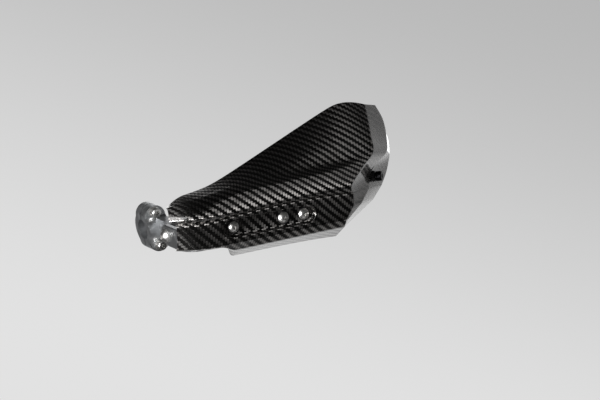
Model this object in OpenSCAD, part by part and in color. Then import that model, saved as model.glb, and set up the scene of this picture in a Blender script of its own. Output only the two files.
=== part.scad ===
// Motorcycle hand guard for the rider's left side.
// X runs along the handlebar to its open end, -Y is forward, +Z is up.
// The origin is the middle of the handlebar clamp's bore.
// Every piece is drawn level with the handlebar and then tipped down at the front by the rake.

/* [Handlebar] */
// Outside diameter of the handlebar in the clamp
bar_d = 22.2; // [21.5:0.1:23]
// Inside diameter of the handlebar's open end
bar_bore = 15; // [14:0.5:17]
// Middle of the clamp to the end of the handlebar
bar_reach = 244; // [236:1:256]

/* [Mounting bow] */
// Width of the flat bar that the bow is bent from
bow_w = 24; // [22:1:26]
// Thickness of the flat bar
bow_t = 6; // [5:0.5:7]
// Handlebar axis to the middle of the bow's front run
bow_reach = 96; // [90:1:102]
// Bend radius at the inner end, on the bar's middle
bow_bend_in = 28; // [24:1:32]
// Chamfer along the edges of the flat bar
bow_edge = 1; // [0.5:0.1:1.5]
// Angle by which the bow tips down at the front
rake = 26; // [15:1:32]

/* [Carbon shell] */
// Wall of the moulding
shell_wall = 2.5; // [2:0.1:3]
// Highest point of the wing above the bow's middle plane
wing_top = 94; // [86:1:100]
// Height of the moulding's inner end above the bow's middle plane
nose_top = 44; // [41:1:46]
// How far the inner end reaches past the clamp's middle
nose_reach = 16; // [14:1:20]
// How far the return wall runs back under the lower edge
sill_depth = 30; // [24:1:34]
// How far the return wall drops under the keel
sill_drop = 23.5; // [21:0.5:25]
// How far the return wall's outer part passes the bow's outer arm
wrap_out = 25; // [23:0.5:27]
// How far the return wall's outer part reaches back behind the face
wrap_back = 74; // [70:1:78]

/* [Shell form] */
// Set of the top edge behind the face, at the inner end and at the front corner
top_set = [40, 50];
// Rounding of the top edge into the inner end and into the front corner
top_round = [8, 12];
// Swell of the band between ridge and top edge
band_swell = 16; // [12:1:18]
// Swell of the wing over its valley
wing_swell = 14; // [10:1:16]
// Height of the ridge ahead of the clamp, and how far it stands proud of the face
ridge_z = 27.4; // [26.4:0.2:29]
ridge_proud = 2; // [1:0.5:3]
// Height of the step under the ridge ahead of the clamp, and how far it droops on its way out
step_z = 18.7; // [18.3:0.1:19.2]
step_droop = 14; // [12:0.5:15]
// Depth of the ledge on the step, at the inner end and further out
ledge = [3, 1.3];
// Depth of the keel ahead of the clamp
keel_z = 5.8; // [5.4:0.1:8]
// Height of the valley's floor, its rise at the outer end and its set behind the face
valley_z = 22.5; // [21:0.5:24]
valley_rise = 14; // [12:0.5:16]
valley_set = 13; // [11:0.5:15]
// Bow's outer arm to the front corner, the valley's end, the vee of the face and the keel's end
corner_inset = 7; // [5:0.5:9]
valley_inset = 27; // [25:0.5:29]
vee_inset = 68; // [66:0.5:70]
toe_inset = 80; // [78:0.5:82]
// How far the inner end curls back, and how far its top leans out
nose_curl = 24; // [20:1:26]
nose_lean = 5; // [4:0.5:6]
// Bevel between the keel and the return wall
bevel_set = 6; // [5:0.5:8]
bevel_drop = 9; // [8:0.5:10]
// Slot beside the outer bolt
slot_len = 5; // [4:0.5:6]
slot_w = 1.8; // [1.4:0.1:2.2]

/* [Pocket] */
// Depth of the stadium pocket
pocket_depth = 5.5; // [4:0.5:6]
// Height of the stadium pocket
pocket_h = 20; // [19:0.5:21]
// First screw to the pocket's inner end
pocket_end_in = 14; // [13:0.5:15]
// Last screw to the pocket's outer end
pocket_end_out = 12; // [11:0.5:14]
// Angle by which the pocket falls towards the outer end
pocket_fall = 6.4; // [6:0.1:7]

/* [Pocket screws] */
// Clamp's middle to the first pocket screw, along the bar
screw_first_x = 45; // [44:0.5:47]
// Height of the first pocket screw above the bow's middle plane
screw_first_z = 6.3; // [6:0.1:6.8]
// First pocket screw to the second
screw_gap_long = 59.5; // [57:0.5:61]
// Second pocket screw to the third
screw_gap_short = 24.5; // [22:0.5:26]
// Thread diameter of the pocket screws
screw_d = 6; // [5:0.5:6.5]
// Diameter of the domed head
screw_head_d = 12.6; // [11:0.1:13]
// Height of the domed head
screw_head_h = 4; // [3:0.1:4.5]
// Thickness of the washer under the head
washer_t = 1; // [0.8:0.1:1.5]
// Thickness of the rubber dampers between shell and bow
damper_t = 3; // [2:0.5:4]
// Diameter of the rubber dampers
damper_d = 18; // [16:0.5:19]
// Diameter of the collars that keep the shell from being crushed
collar_d = 9; // [8.5:0.1:10]

/* [Outer bolt] */
// Place of the outer bolt on the bow's outer bend, from straight ahead
outer_turn = 43; // [40:1:46]
// Height of the outer bolt above the bow's middle plane
outer_z = 5; // [3:0.5:5.5]
// Diameter of the black head
outer_head_d = 11.2; // [10.5:0.1:12]
// Height of the black head above its neck
outer_head_h = 6.5; // [5:0.1:7]
// Diameter of the black spacer under the head
outer_spacer_d = 10.8; // [10:0.1:12]
// Length of the black spacer
outer_spacer_len = 3.5; // [2.5:0.1:5]
// Diameter of the rubber damper behind the shell
outer_damper_d = 13; // [12:0.5:14]

/* [Clamp] */
// Width of the clamp along the handlebar
clamp_w = 24; // [22:1:28]
// Wall of the clamp round the handlebar
clamp_wall = 7; // [6:0.5:8]
// Gap left between the two halves of the clamp
clamp_gap = 2; // [1.5:0.1:3]
// Thread diameter of the clamp screws
clamp_screw_d = 6; // [5:0.5:6]
// Handlebar axis to the bolt that holds the bow
link_reach = 46; // [44:1:48]
// Thread diameter of the bolt that holds the bow, and of the one in the bar's end
link_d = 8; // [7:0.5:8]

/* [Bar end] */
// Length of the round weight between the bow and the bar's end
weight_len = 10; // [8:1:14]
// Diameter of the round weight
weight_d = 22; // [18:1:24]
// Length of the rubber sleeve inside the bar
sleeve_len = 30; // [24:1:36]
// Length of the cone nut
cone_len = 16; // [14:1:18]

/* [Clearances] */
// Diameter that a hole has over its bolt
hole_play = 0.6; // [0.4:0.1:1]
// Diameter that a nut or a collar's hole has over what is in it
fit_play = 0.1; // [0.1:0.05:0.2]

/* [Hidden] */
$fn = 48;
through = 400;

// The bow, seen from above: inner arm, front run, outer bend, outer arm
arm_in_x = -bow_t / 2;
arm_out_x = bar_reach + weight_len + bow_t / 2;
bow_bend_out = bow_reach - weight_d / 2;
run_start_x = arm_in_x + bow_bend_in;
run_end_x = arm_out_x - bow_bend_out;
bend_in_y = -(bow_reach - bow_bend_in);
bend_out_y = -(bow_reach - bow_bend_out);
bow_front_y = -(bow_reach + bow_t / 2);

// Flat planes of the shell's lower face, one behind the other
floor_back_y = bow_front_y - damper_t;
floor_y = floor_back_y - shell_wall;
face_y = floor_y - pocket_depth;

// Pocket and its screws, on one line that falls towards the outer end
screw_last_x = screw_first_x + screw_gap_long + screw_gap_short;
pocket_screw_x = [screw_first_x, screw_first_x + screw_gap_long, screw_last_x];
function pocket_z(x) = screw_first_z - (x - screw_first_x) * tan(pocket_fall);
pocket_len = (screw_last_x - screw_first_x) / cos(pocket_fall) + pocket_end_in + pocket_end_out;
pocket_mid_x = (screw_first_x + screw_last_x + (pocket_end_out - pocket_end_in) * cos(pocket_fall)) / 2;
washer_d = screw_head_d + 1.4;
nut_h = screw_d;
thread_end = 2;

// The outer bolt stands square on a flat that is cut on the bow's outer bend
bow_flat = 0.5;
outer_dir = [sin(outer_turn), -cos(outer_turn), 0];
outer_run = [cos(outer_turn), sin(outer_turn), 0];
outer_seat = [run_end_x, bend_out_y, outer_z]
    + (bow_bend_out + bow_t / 2 - bow_flat + damper_t + shell_wall) * outer_dir;
outer_stack = shell_wall + damper_t;
outer_neck = 1;
outer_nut_seat = outer_stack + bow_t - 2 * bow_flat;

// Clamp and the joint of the bow on its lug
bar_r = bar_d / 2;
clamp_r = bar_r + clamp_wall;
ear_t = 11;
lug_t = 11;
clamp_washer_d = clamp_screw_d * 2;
clamp_screw_z = bow_w / 2 + clamp_washer_d / 2 + 0.6;
ear_reach = clamp_screw_z + clamp_screw_d + 1;
link_washer_t = 1.6;
link_washer_d = link_d * 2;
link_nut_h = link_d * 0.85;

// Rubber sleeve and cone inside the bar's end
sleeve_d = bar_bore - 0.2;
sleeve_hole = link_d + hole_play;
sleeve_end_x = bar_reach - sleeve_len;
cone_mouth_d = sleeve_d - 2;
cone_taper_len = cone_len / 2;

function mix(a, b, t) = a + (b - a) * t;
function unit(t) = max(0, min(1, t));
function ease(t) = let (c = unit(t)) c * c * (3 - 2 * c);
function hinge(t, r) = (t + sqrt(t * t + r * r)) / 2;
function normal_of(v) = v / norm(v);

// Guide lines of the shell. Each runs from the inner end at u = 0 to the front corner at u = 1.
nose_x = -nose_reach;
wing_x = arm_out_x - corner_inset;
vee_x = arm_out_x - vee_inset;
toe_x = arm_out_x - toe_inset;
function nose_bend(u) = pow(unit(1 - u / 0.22), 2);
function wing_rise(u) = (hinge(u - 0.2, 0.06) - hinge(u - 0.86, 0.06)) / 0.66;
function top_line(u) = [
    mix(nose_x + nose_lean, wing_x, u),
    face_y + mix(top_set[0], top_set[1], u),
    nose_top + (wing_top - nose_top) * wing_rise(u)
        - top_round[0] * pow(unit(1 - u / 0.09), 2) - top_round[1] * pow(unit((u - 0.82) / 0.18), 2)
];
function ridge_line(u) = let (x = mix(nose_x - 0.3 * nose_lean, vee_x, u)) [
    x, face_y - ridge_proud + nose_curl * nose_bend(u), ridge_z - 0.071 * x - 0.075 * nose_curl * nose_bend(u)
];
function step_line(u) = [
    mix(nose_x + 0.7 * nose_lean, vee_x + 0.2 * nose_lean, u),
    face_y + 0.75 * nose_curl * nose_bend(u),
    step_z - step_droop * pow(max(0, u - 0.17) / 0.79, 2) + 0.075 * nose_curl * nose_bend(u)
];
function keel_line(u) = let (x = mix(nose_x + 0.4 * nose_lean, toe_x, u)) [
    x, face_y + 0.25 * nose_curl * nose_bend(u), -keel_z - 0.096 * x
];
function valley_line(u) = [
    mix(nose_x + nose_lean, arm_out_x - valley_inset, u),
    face_y + valley_set,
    valley_z + valley_rise * ease((u - 0.8) / 0.2)
];

// The band between ridge and top edge swells into wing and valley on the way out
function band(u, k) = mix(ridge_line(u), top_line(u), k) + band_swell * k * (1 - k) * [0, -0.8, 0.6];
function wing(u, k) = mix(valley_line(u), top_line(u), k) + wing_swell * k * (1 - k) * [0, -1, 0.2];
function lap(u, k) = mix(ridge_line(u), valley_line(u), k) + valley_set * k * (1 - k) * [0, -0.23, 0.37];
function upper(u, flat, grown) = mix(flat, grown, ease((u - 0.2) / 0.3));
function face_guides(u) = [
    top_line(u),
    upper(u, band(u, 0.84), wing(u, 0.66)),
    upper(u, band(u, 0.66), wing(u, 0.33)),
    upper(u, band(u, 0.48), wing(u, 0)),
    upper(u, band(u, 0.24), lap(u, 0.5)),
    ridge_line(u),
    step_line(u) + mix(ledge[1], ledge[0], pow(unit(1 - u / 0.4), 2)) * [0, 1, 0.75],
    step_line(u),
    mix(step_line(u), keel_line(u), 0.5) + [0.75 * bevel_set * pow(u, 6), 0, 0],
    keel_line(u)
];

// The side crease and the rim behind it, in the order of the guides, from the wing's shoulder to the toe.
// The upper points are set out from the bow's arm, the middle ones from the outer bolt's seat.
function by_arm(out, back, up) = [arm_out_x + out * wrap_out, face_y + back * wrap_back, up * wing_top];
function by_seat(along, up, out = 0) = outer_seat + wrap_out * (along * outer_run + out * outer_dir)
    + [0, 0, up * bow_w - outer_z];
step_crease = by_seat(-0.72, -0.125, -0.04);
step_rim = by_seat(0.96, -0.542, 0.072);
side_crease = [
    by_arm(0.5, 0.81, 0.793),
    by_arm(0.64, 0.716, 0.606),
    by_arm(0.48, 0.608, 0.383),
    by_arm(0.12, 0.486, 0.266),
    by_seat(0, 0.75, 0.16),
    by_seat(-0.3, 0.333, -0.02),
    mix(by_seat(-0.3, 0.333, -0.02), step_crease, 0.9),
    step_crease,
    [arm_out_x - 0.794 * vee_inset, face_y + 0.1 * wrap_back, -0.52 * bow_w],
    keel_line(1) + wrap_out * [0.16, 0.08, -0.02]
];
side_rim = [
    by_arm(0.72, 1, 0.745),
    by_arm(0.88, 0.919, 0.553),
    by_arm(1, 0.865, 0.34),
    by_arm(0.88, 0.811, 0.17),
    by_seat(1.72, 0.25, 0.3),
    by_seat(1.4, -0.125, 0.22),
    mix(by_seat(1.4, -0.125, 0.22), step_rim, 0.9),
    step_rim,
    [arm_out_x - 0.25 * vee_inset, face_y + 0.608 * wrap_back, -1.085 * sill_drop],
    [arm_out_x - 0.775 * toe_inset, face_y + 1.2 * sill_depth, -1.787 * sill_drop]
];

// Grid of the front: columns along the shell, rows from the top edge down to the keel
along_steps = 34;
side_steps = 4;
up_steps = 3;
function pick(p, i) = p[max(0, min(len(p) - 1, i))];
function smooth_at(p, i, f) = let (a = pick(p, i - 1), b = p[i], c = pick(p, i + 1), d = pick(p, i + 2))
    0.5 * (2 * b + (c - a) * f + (2 * a - 5 * b + 4 * c - d) * f * f + (3 * b - a - 3 * c + d) * f * f * f);
function rows_of(g) = [
    for (i = [0:5]) for (s = [0:up_steps - 1]) smooth_at([for (k = [0:6]) g[k]], i, s / up_steps),
    g[6], g[7], mix(g[7], g[8], 0.5), g[8], mix(g[8], g[9], 0.5), g[9]
];
front_cols = concat(
    [for (i = [0:along_steps]) rows_of(face_guides(i / along_steps))],
    [for (s = [1:side_steps]) rows_of(
        [for (k = [0:9]) mix(face_guides(1)[k], side_crease[k], s / side_steps)])]
);
cols = len(front_cols);
rows = len(front_cols[0]);

// The return wall leaves the front's lower and outer edges: a short bevel, then the wall back to the rim
rim_rows = rows_of(side_rim);
function grown_by(u, from, over) = mix(0.12, 1, ease((u - from) / over));
function sill(u) = keel_line(u) + grown_by(u, 0.23, 0.13) * [0, bevel_set + sill_depth, -sill_drop]
    + pow(u, 5) * sill_drop * [0.17, 0, -0.15];
function bevel_end(u) = keel_line(u) + grown_by(u, 0.19, 0.12) * [0, bevel_set, -bevel_drop];
edge_path = concat(
    [for (i = [0:cols - 1]) [i, rows - 1]],
    [for (j = [rows - 2:-1:0]) [cols - 1, j]]
);
function edge_ends(e) = let (i = e[0], j = e[1], u = min(1, i / along_steps))
    j < rows - 1 ? [mix(front_cols[i][j], rim_rows[j], 0.22), rim_rows[j]]
    : i <= along_steps ? [bevel_end(u), sill(u)]
    : let (s = (i - along_steps) / side_steps)
        [mix(bevel_end(1), mix(front_cols[cols - 1][rows - 1], rim_rows[rows - 1], 0.3), s),
         mix(sill(1), rim_rows[rows - 1], s)];
wall_steps = 4;
function wall_points(e) = let (a = front_cols[e[0]][e[1]], b = edge_ends(e)) [
    b[0],
    for (m = [1:wall_steps - 1]) mix(b[0], b[1], m / (wall_steps - 1))
];
wall_cols = [for (e = edge_path) concat([front_cols[e[0]][e[1]]], wall_points(e))];

// Outward normals, from the neighbours on each grid
function grid_normal(g, i, j) = let (
        a = g[max(0, i - 1)][j], b = g[min(len(g) - 1, i + 1)][j],
        c = g[i][max(0, j - 1)], d = g[i][min(len(g[0]) - 1, j + 1)])
    normal_of(cross(d - c, b - a));
function on_edge(i, j) = j == rows - 1 ? i : cols - 1 + (rows - 1 - j);
function inset(i, j) = let (n = grid_normal(front_cols, i, j))
    i < cols - 1 && j < rows - 1 ? n
    : let (m = grid_normal(wall_cols, on_edge(i, j), 0)) (n + m) / (1 + n * m);
outer_skin = concat(
    [for (c = front_cols) for (p = c) p],
    [for (c = wall_cols) for (m = [1:wall_steps]) c[m]]
);
inward = concat(
    [for (i = [0:cols - 1]) for (j = [0:rows - 1]) inset(i, j)],
    [for (k = [0:len(wall_cols) - 1]) for (m = [1:wall_steps]) grid_normal(wall_cols, k, m)]
);
function front_id(i, j) = i * rows + j;
function wall_id(k, m) = m == 0 ? front_id(edge_path[k][0], edge_path[k][1])
    : cols * rows + k * wall_steps + m - 1;
skin_quads = concat(
    [for (i = [0:cols - 2]) for (j = [0:rows - 2])
        [front_id(i, j), front_id(i, j + 1), front_id(i + 1, j + 1), front_id(i + 1, j)]],
    [for (k = [0:len(wall_cols) - 2]) for (m = [0:wall_steps - 1])
        [wall_id(k, m), wall_id(k, m + 1), wall_id(k + 1, m + 1), wall_id(k + 1, m)]]
);
skin_loop = concat(
    [for (i = [cols - 1:-1:1]) front_id(i, 0)],
    [for (j = [0:rows - 2]) front_id(0, j)],
    [for (m = [0:wall_steps - 1]) wall_id(0, m)],
    [for (k = [0:len(wall_cols) - 2]) wall_id(k, wall_steps)],
    [for (m = [wall_steps:-1:1]) wall_id(len(wall_cols) - 1, m)]
);

module shell_skin() {
    n = len(outer_skin);
    points = concat(outer_skin, outer_skin - shell_wall * inward);
    faces = concat(
        [for (q = skin_quads) for (t = [[q[0], q[2], q[1]], [q[0], q[3], q[2]]]) t],
        [for (q = skin_quads) for (t = [[q[0], q[1], q[2]], [q[0], q[2], q[3]]]) t + [n, n, n]],
        [for (k = [0:len(skin_loop) - 1]) let (a = skin_loop[k], b = skin_loop[(k + 1) % len(skin_loop)])
            for (t = [[a, b, b + n], [a, b + n, a + n]]) t]
    );
    polyhedron(points = points, faces = faces, convexity = 8);
}

module mounted() {
    rotate([rake, 0, 0]) children();
}

// Places and axes. Each turns the Z axis of what it holds, and Z then points out of the guard.
module ahead(x, y, z) {
    translate([x, y, z]) rotate([90, 0, 0]) children();
}

module outboard(x, y, z) {
    translate([x, y, z]) rotate([0, 90, 0]) children();
}

module at_pocket_screws(y) {
    for (x = pocket_screw_x) ahead(x, y, pocket_z(x)) children();
}

module at_outer_bolt(depth) {
    translate(outer_seat + depth * outer_dir)
        rotate([0, 0, outer_turn]) rotate([90, 0, 0]) children();
}

module at_clamp_screws(y) {
    for (side = [-1, 1]) ahead(0, y, side * clamp_screw_z) children();
}

// Shared hardware
module ring(outer, inner, height) {
    difference() {
        cylinder(d = outer, h = height);
        translate([0, 0, -1]) cylinder(d = inner, h = height + 2);
    }
}

module domed_screw(thread, length, head, head_height, key) {
    dome_r = (head * head / 4 + head_height * head_height) / (2 * head_height);
    difference() {
        union() {
            intersection() {
                cylinder(d = head + 2, h = head_height + 1);
                translate([0, 0, head_height - dome_r]) sphere(r = dome_r, $fn = 64);
            }
            translate([0, 0, -length]) cylinder(d = thread, h = length + 0.5);
        }
        translate([0, 0, head_height * 0.45]) cylinder(d = key, h = head_height, $fn = 6);
    }
}

module cap_screw(thread, length, head, head_height, key) {
    edge = head_height * 0.12;
    difference() {
        union() {
            cylinder(d = head, h = head_height - edge);
            translate([0, 0, head_height - edge])
                cylinder(d1 = head, d2 = head - 2 * edge, h = edge);
            translate([0, 0, -length]) cylinder(d = thread, h = length + 0.5);
        }
        translate([0, 0, head_height * 0.45]) cylinder(d = key, h = head_height, $fn = 6);
    }
}

module flange_nut(thread, height) {
    flange = height * 0.25;
    difference() {
        union() {
            cylinder(d = thread * 2.2, h = flange);
            cylinder(d = thread * 1.65 / cos(30), h = height, $fn = 6);
        }
        translate([0, 0, -1]) cylinder(d = thread + fit_play, h = height + 2);
    }
}

// The moulding: skin, pocket tray and the pad under the outer bolt, then the openings
module stadium(length, height, depth) {
    straight = length - height;
    translate([-straight / 2, -height / 2, 0]) cube([straight, height, depth]);
    for (side = [-1, 1]) translate([side * straight / 2, 0, 0]) cylinder(d = height, h = depth);
}

module at_pocket(y) {
    ahead(pocket_mid_x, y, pocket_z(pocket_mid_x)) rotate([0, 0, -pocket_fall]) children();
}

module guard_shell() {
    tray_front = 0.5;
    color("dimgray") mounted() difference() {
        union() {
            shell_skin();
            at_pocket(floor_back_y)
                stadium(pocket_len + 2 * shell_wall, pocket_h + 2 * shell_wall,
                    shell_wall + pocket_depth - tray_front);
            at_outer_bolt(-shell_wall) cylinder(d = outer_damper_d + 1, h = shell_wall);
        }
        at_pocket(floor_y) stadium(pocket_len, pocket_h, 3 * pocket_depth);
        at_pocket_screws(floor_back_y + shell_wall) cylinder(d = collar_d + fit_play, h = 3 * shell_wall);
        at_outer_bolt(0) cylinder(d = outer_spacer_d + 2, h = outer_head_h);
        at_outer_bolt(-outer_stack) cylinder(d = outer_damper_d + hole_play, h = damper_t);
        at_outer_bolt(-2 * shell_wall) cylinder(d = collar_d + fit_play, h = 3 * shell_wall);
        translate(by_seat(-0.12, 0.646)) rotate([0, 0, outer_turn]) rotate([90, 0, 0]) rotate([0, 0, 25])
            translate([0, 0, -slot_len * 2]) stadium(slot_len, slot_w, slot_len * 4);
    }
}

// The bow: chamfered flat bar, bent twice, with a round eye at each end
module bar_section() {
    a = bow_t / 2;
    b = bow_w / 2;
    e = bow_edge;
    polygon([
        [-a + e, -b], [a - e, -b], [a, -b + e], [a, b - e],
        [a - e, b], [-a + e, b], [-a, b - e], [-a, -b + e]
    ]);
}

module bow_bend(radius, turn) {
    rotate([0, 0, turn]) rotate_extrude(angle = 90, $fn = 96) translate([radius, 0]) bar_section();
}

module bow_arm(x, front_y, eye_y) {
    translate([x, eye_y, 0]) rotate([90, 0, 0]) linear_extrude(height = eye_y - front_y) bar_section();
    outboard(x - bow_t / 2, eye_y, 0) {
        cylinder(d1 = bow_w - 2 * bow_edge, d2 = bow_w, h = bow_edge);
        translate([0, 0, bow_edge]) cylinder(d = bow_w, h = bow_t - 2 * bow_edge);
        translate([0, 0, bow_t - bow_edge]) cylinder(d1 = bow_w, d2 = bow_w - 2 * bow_edge, h = bow_edge);
    }
}

module mounting_bow() {
    color("darkgray") mounted() difference() {
        union() {
            bow_arm(arm_in_x, bend_in_y, -link_reach);
            translate([run_start_x, bend_in_y, 0]) bow_bend(bow_bend_in, 180);
            translate([run_start_x, -bow_reach, 0]) rotate([90, 0, 90])
                linear_extrude(height = run_end_x - run_start_x) bar_section();
            translate([run_end_x, bend_out_y, 0]) bow_bend(bow_bend_out, 270);
            bow_arm(arm_out_x, bend_out_y, 0);
        }
        at_pocket_screws(0) cylinder(d = screw_d + hole_play, h = through);
        at_outer_bolt(-outer_stack) cylinder(d = outer_damper_d + 1, h = bow_t);
        at_outer_bolt(-outer_nut_seat - bow_t) cylinder(d = screw_d * 2.2 + 1, h = bow_t);
        at_outer_bolt(-outer_stack - bow_t - 5) cylinder(d = screw_d + hole_play, h = bow_t + 10);
        outboard(arm_in_x - bow_t, -link_reach, 0) cylinder(d = link_d + hole_play, h = 2 * bow_t);
        outboard(arm_out_x - bow_t, 0, 0) cylinder(d = link_d + hole_play, h = 2 * bow_t);
    }
}

// Set on each pocket screw
module pocket_screws() {
    length = washer_t + outer_stack + bow_t + nut_h + thread_end;
    color("silver") mounted() at_pocket_screws(floor_y - washer_t)
        domed_screw(screw_d, length, screw_head_d, screw_head_h, screw_d * 0.7);
}

module pocket_washers() {
    color("black") mounted() at_pocket_screws(floor_y) ring(washer_d, screw_d + hole_play, washer_t);
}

module pocket_collars() {
    color("silver") mounted() at_pocket_screws(bow_front_y) ring(collar_d, screw_d + hole_play, outer_stack);
}

module pocket_dampers() {
    color("black") mounted() at_pocket_screws(bow_front_y) ring(damper_d, collar_d + fit_play, damper_t);
}

module pocket_nuts() {
    color("silver") mounted() at_pocket_screws(bow_front_y + bow_t)
        mirror([0, 0, 1]) flange_nut(screw_d, nut_h);
}

// Set on the outer bolt
module outer_bolt() {
    length = outer_neck + outer_spacer_len + outer_nut_seat + nut_h + thread_end;
    color("black") mounted() at_outer_bolt(outer_spacer_len) {
        cylinder(d = screw_d * 1.4, h = outer_neck);
        translate([0, 0, outer_neck])
            cap_screw(screw_d, length, outer_head_d, outer_head_h, screw_d * 0.8);
    }
}

module outer_spacer() {
    color("black") mounted() at_outer_bolt(0) ring(outer_spacer_d, screw_d + hole_play, outer_spacer_len);
}

module outer_collar() {
    color("silver") mounted() at_outer_bolt(-outer_stack) ring(collar_d, screw_d + hole_play, outer_stack);
}

module outer_damper() {
    color("black") mounted() at_outer_bolt(-outer_stack) ring(outer_damper_d, collar_d + fit_play, damper_t);
}

module outer_nut() {
    color("silver") mounted() at_outer_bolt(-outer_nut_seat) mirror([0, 0, 1]) flange_nut(screw_d, nut_h);
}

// Split clamp on the handlebar
module clamp_half() {
    difference() {
        union() {
            outboard(-clamp_w / 2, 0, 0) cylinder(r = clamp_r, h = clamp_w, $fn = 96);
            rotate([90, 0, 0]) translate([0, 0, clamp_gap / 2]) rotate([0, 0, 90])
                stadium(2 * ear_reach, clamp_w, ear_t);
        }
        translate([-clamp_w, -clamp_gap / 2, -through / 2]) cube([2 * clamp_w, through, through]);
        outboard(-clamp_w, 0, 0) cylinder(r = bar_r, h = 2 * clamp_w, $fn = 96);
    }
}

module clamp_front() {
    color("darkgray") mounted() difference() {
        union() {
            clamp_half();
            translate([0, -link_reach, -bow_w / 2]) cube([lug_t, link_reach - bar_r - 3, bow_w]);
            outboard(0, -link_reach, 0) cylinder(d = bow_w, h = lug_t);
        }
        at_clamp_screws(0) cylinder(d = clamp_screw_d + hole_play, h = through);
        at_clamp_screws(-clamp_gap / 2 - ear_t) cylinder(d = clamp_washer_d + hole_play, h = clamp_r);
        outboard(-through / 2, -link_reach, 0) cylinder(d = link_d + hole_play, h = through);
    }
}

module clamp_rear() {
    color("darkgray") mounted() difference() {
        rotate([0, 0, 180]) clamp_half();
        at_clamp_screws(through / 2) cylinder(d = clamp_screw_d + fit_play, h = through);
    }
}

module clamp_screws() {
    length = washer_t + 2 * ear_t + clamp_gap;
    color("silver") mounted() at_clamp_screws(-clamp_gap / 2 - ear_t - washer_t)
        cap_screw(clamp_screw_d, length, clamp_screw_d * 1.65, clamp_screw_d, clamp_screw_d * 0.8);
}

module clamp_washers() {
    color("silver") mounted() at_clamp_screws(-clamp_gap / 2 - ear_t)
        ring(clamp_washer_d, clamp_screw_d + hole_play, washer_t);
}

// Joint of the bow on the clamp's lug
module link_bolt() {
    length = bow_t + lug_t + 2 * link_washer_t + link_nut_h + thread_end;
    color("silver") mounted() outboard(-bow_t - link_washer_t, -link_reach, 0)
        mirror([0, 0, 1]) domed_screw(link_d, length, link_d * 1.75, link_d * 0.55, link_d * 0.6);
}

module link_washers() {
    color("silver") mounted() for (x = [-bow_t - link_washer_t, lug_t])
        outboard(x, -link_reach, 0) ring(link_washer_d, link_d + hole_play, link_washer_t);
}

module link_nut() {
    color("silver") mounted() outboard(lug_t + link_washer_t, -link_reach, 0) flange_nut(link_d, link_nut_h);
}

// Fixing in the bar's open end
module bar_end_bolt() {
    length = link_washer_t + bow_t + weight_len + sleeve_len + cone_len - cone_taper_len;
    color("black") mounted() outboard(arm_out_x + bow_t / 2 + link_washer_t, 0, 0)
        cap_screw(link_d, length, link_d * 1.65, link_d, link_d * 0.75);
}

module bar_end_washer() {
    color("silver") mounted() outboard(arm_out_x + bow_t / 2, 0, 0)
        ring(link_washer_d, link_d + hole_play, link_washer_t);
}

module bar_end_weight() {
    edge = 1;
    color("black") mounted() outboard(bar_reach, 0, 0) difference() {
        union() {
            cylinder(d1 = weight_d - 2 * edge, d2 = weight_d, h = edge);
            translate([0, 0, edge]) cylinder(d = weight_d, h = weight_len - 2 * edge);
            translate([0, 0, weight_len - edge]) cylinder(d1 = weight_d, d2 = weight_d - 2 * edge, h = edge);
        }
        translate([0, 0, -1]) cylinder(d = link_d + hole_play, h = weight_len + 2);
    }
}

module expander_sleeve() {
    color("black") mounted() outboard(sleeve_end_x, 0, 0) difference() {
        cylinder(d = sleeve_d, h = sleeve_len);
        translate([0, 0, -1]) cylinder(d = sleeve_hole, h = sleeve_len + 2);
        cylinder(d1 = cone_mouth_d + fit_play, d2 = sleeve_hole, h = cone_taper_len);
    }
}

module expander_cone() {
    color("silver") mounted() outboard(sleeve_end_x - cone_len + cone_taper_len, 0, 0) difference() {
        union() {
            cylinder(d = cone_mouth_d, h = cone_len - cone_taper_len);
            translate([0, 0, cone_len - cone_taper_len])
                cylinder(d1 = cone_mouth_d, d2 = sleeve_hole - fit_play, h = cone_taper_len);
        }
        translate([0, 0, -1]) cylinder(d = link_d + fit_play, h = cone_len + 2);
    }
}

guard_shell();
mounting_bow();
pocket_screws();
pocket_washers();
pocket_collars();
pocket_dampers();
pocket_nuts();
outer_bolt();
outer_spacer();
outer_collar();
outer_damper();
outer_nut();
clamp_front();
clamp_rear();
clamp_screws();
clamp_washers();
link_bolt();
link_washers();
link_nut();
bar_end_bolt();
bar_end_washer();
bar_end_weight();
expander_sleeve();
expander_cone();
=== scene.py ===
import bpy
import math
from mathutils import Matrix, Vector


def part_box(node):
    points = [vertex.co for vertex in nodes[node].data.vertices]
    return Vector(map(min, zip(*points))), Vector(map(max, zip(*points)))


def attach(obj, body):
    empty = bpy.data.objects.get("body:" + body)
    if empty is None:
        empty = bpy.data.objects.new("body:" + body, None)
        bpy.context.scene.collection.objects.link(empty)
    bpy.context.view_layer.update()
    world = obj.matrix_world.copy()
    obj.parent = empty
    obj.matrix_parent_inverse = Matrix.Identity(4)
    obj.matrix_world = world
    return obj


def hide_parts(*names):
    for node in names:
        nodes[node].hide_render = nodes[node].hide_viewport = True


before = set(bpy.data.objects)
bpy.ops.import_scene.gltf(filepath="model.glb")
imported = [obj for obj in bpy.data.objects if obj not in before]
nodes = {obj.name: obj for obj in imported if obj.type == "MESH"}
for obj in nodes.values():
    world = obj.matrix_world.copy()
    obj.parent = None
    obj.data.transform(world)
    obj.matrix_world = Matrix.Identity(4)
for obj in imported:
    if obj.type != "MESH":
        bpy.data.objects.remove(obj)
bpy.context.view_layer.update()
mm = 0.001
print("guard loaded,", len(nodes), "nodes")


def mix(a, b, t):
    return a + (b - a) * t


def unit(t):
    return max(0.0, min(1.0, t))


def ease(t):
    c = unit(t)
    return c * c * (3 - 2 * c)


def hinge(t, r):
    return (t + math.sqrt(t * t + r * r)) / 2


def deselectAll():
    if bpy.context.object and bpy.context.object.mode != "OBJECT":
        bpy.ops.object.mode_set(mode="OBJECT")
    bpy.ops.object.select_all(action="DESELECT")


def pickOnly(obj):
    deselectAll()
    obj.select_set(True)
    bpy.context.view_layer.objects.active = obj


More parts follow.
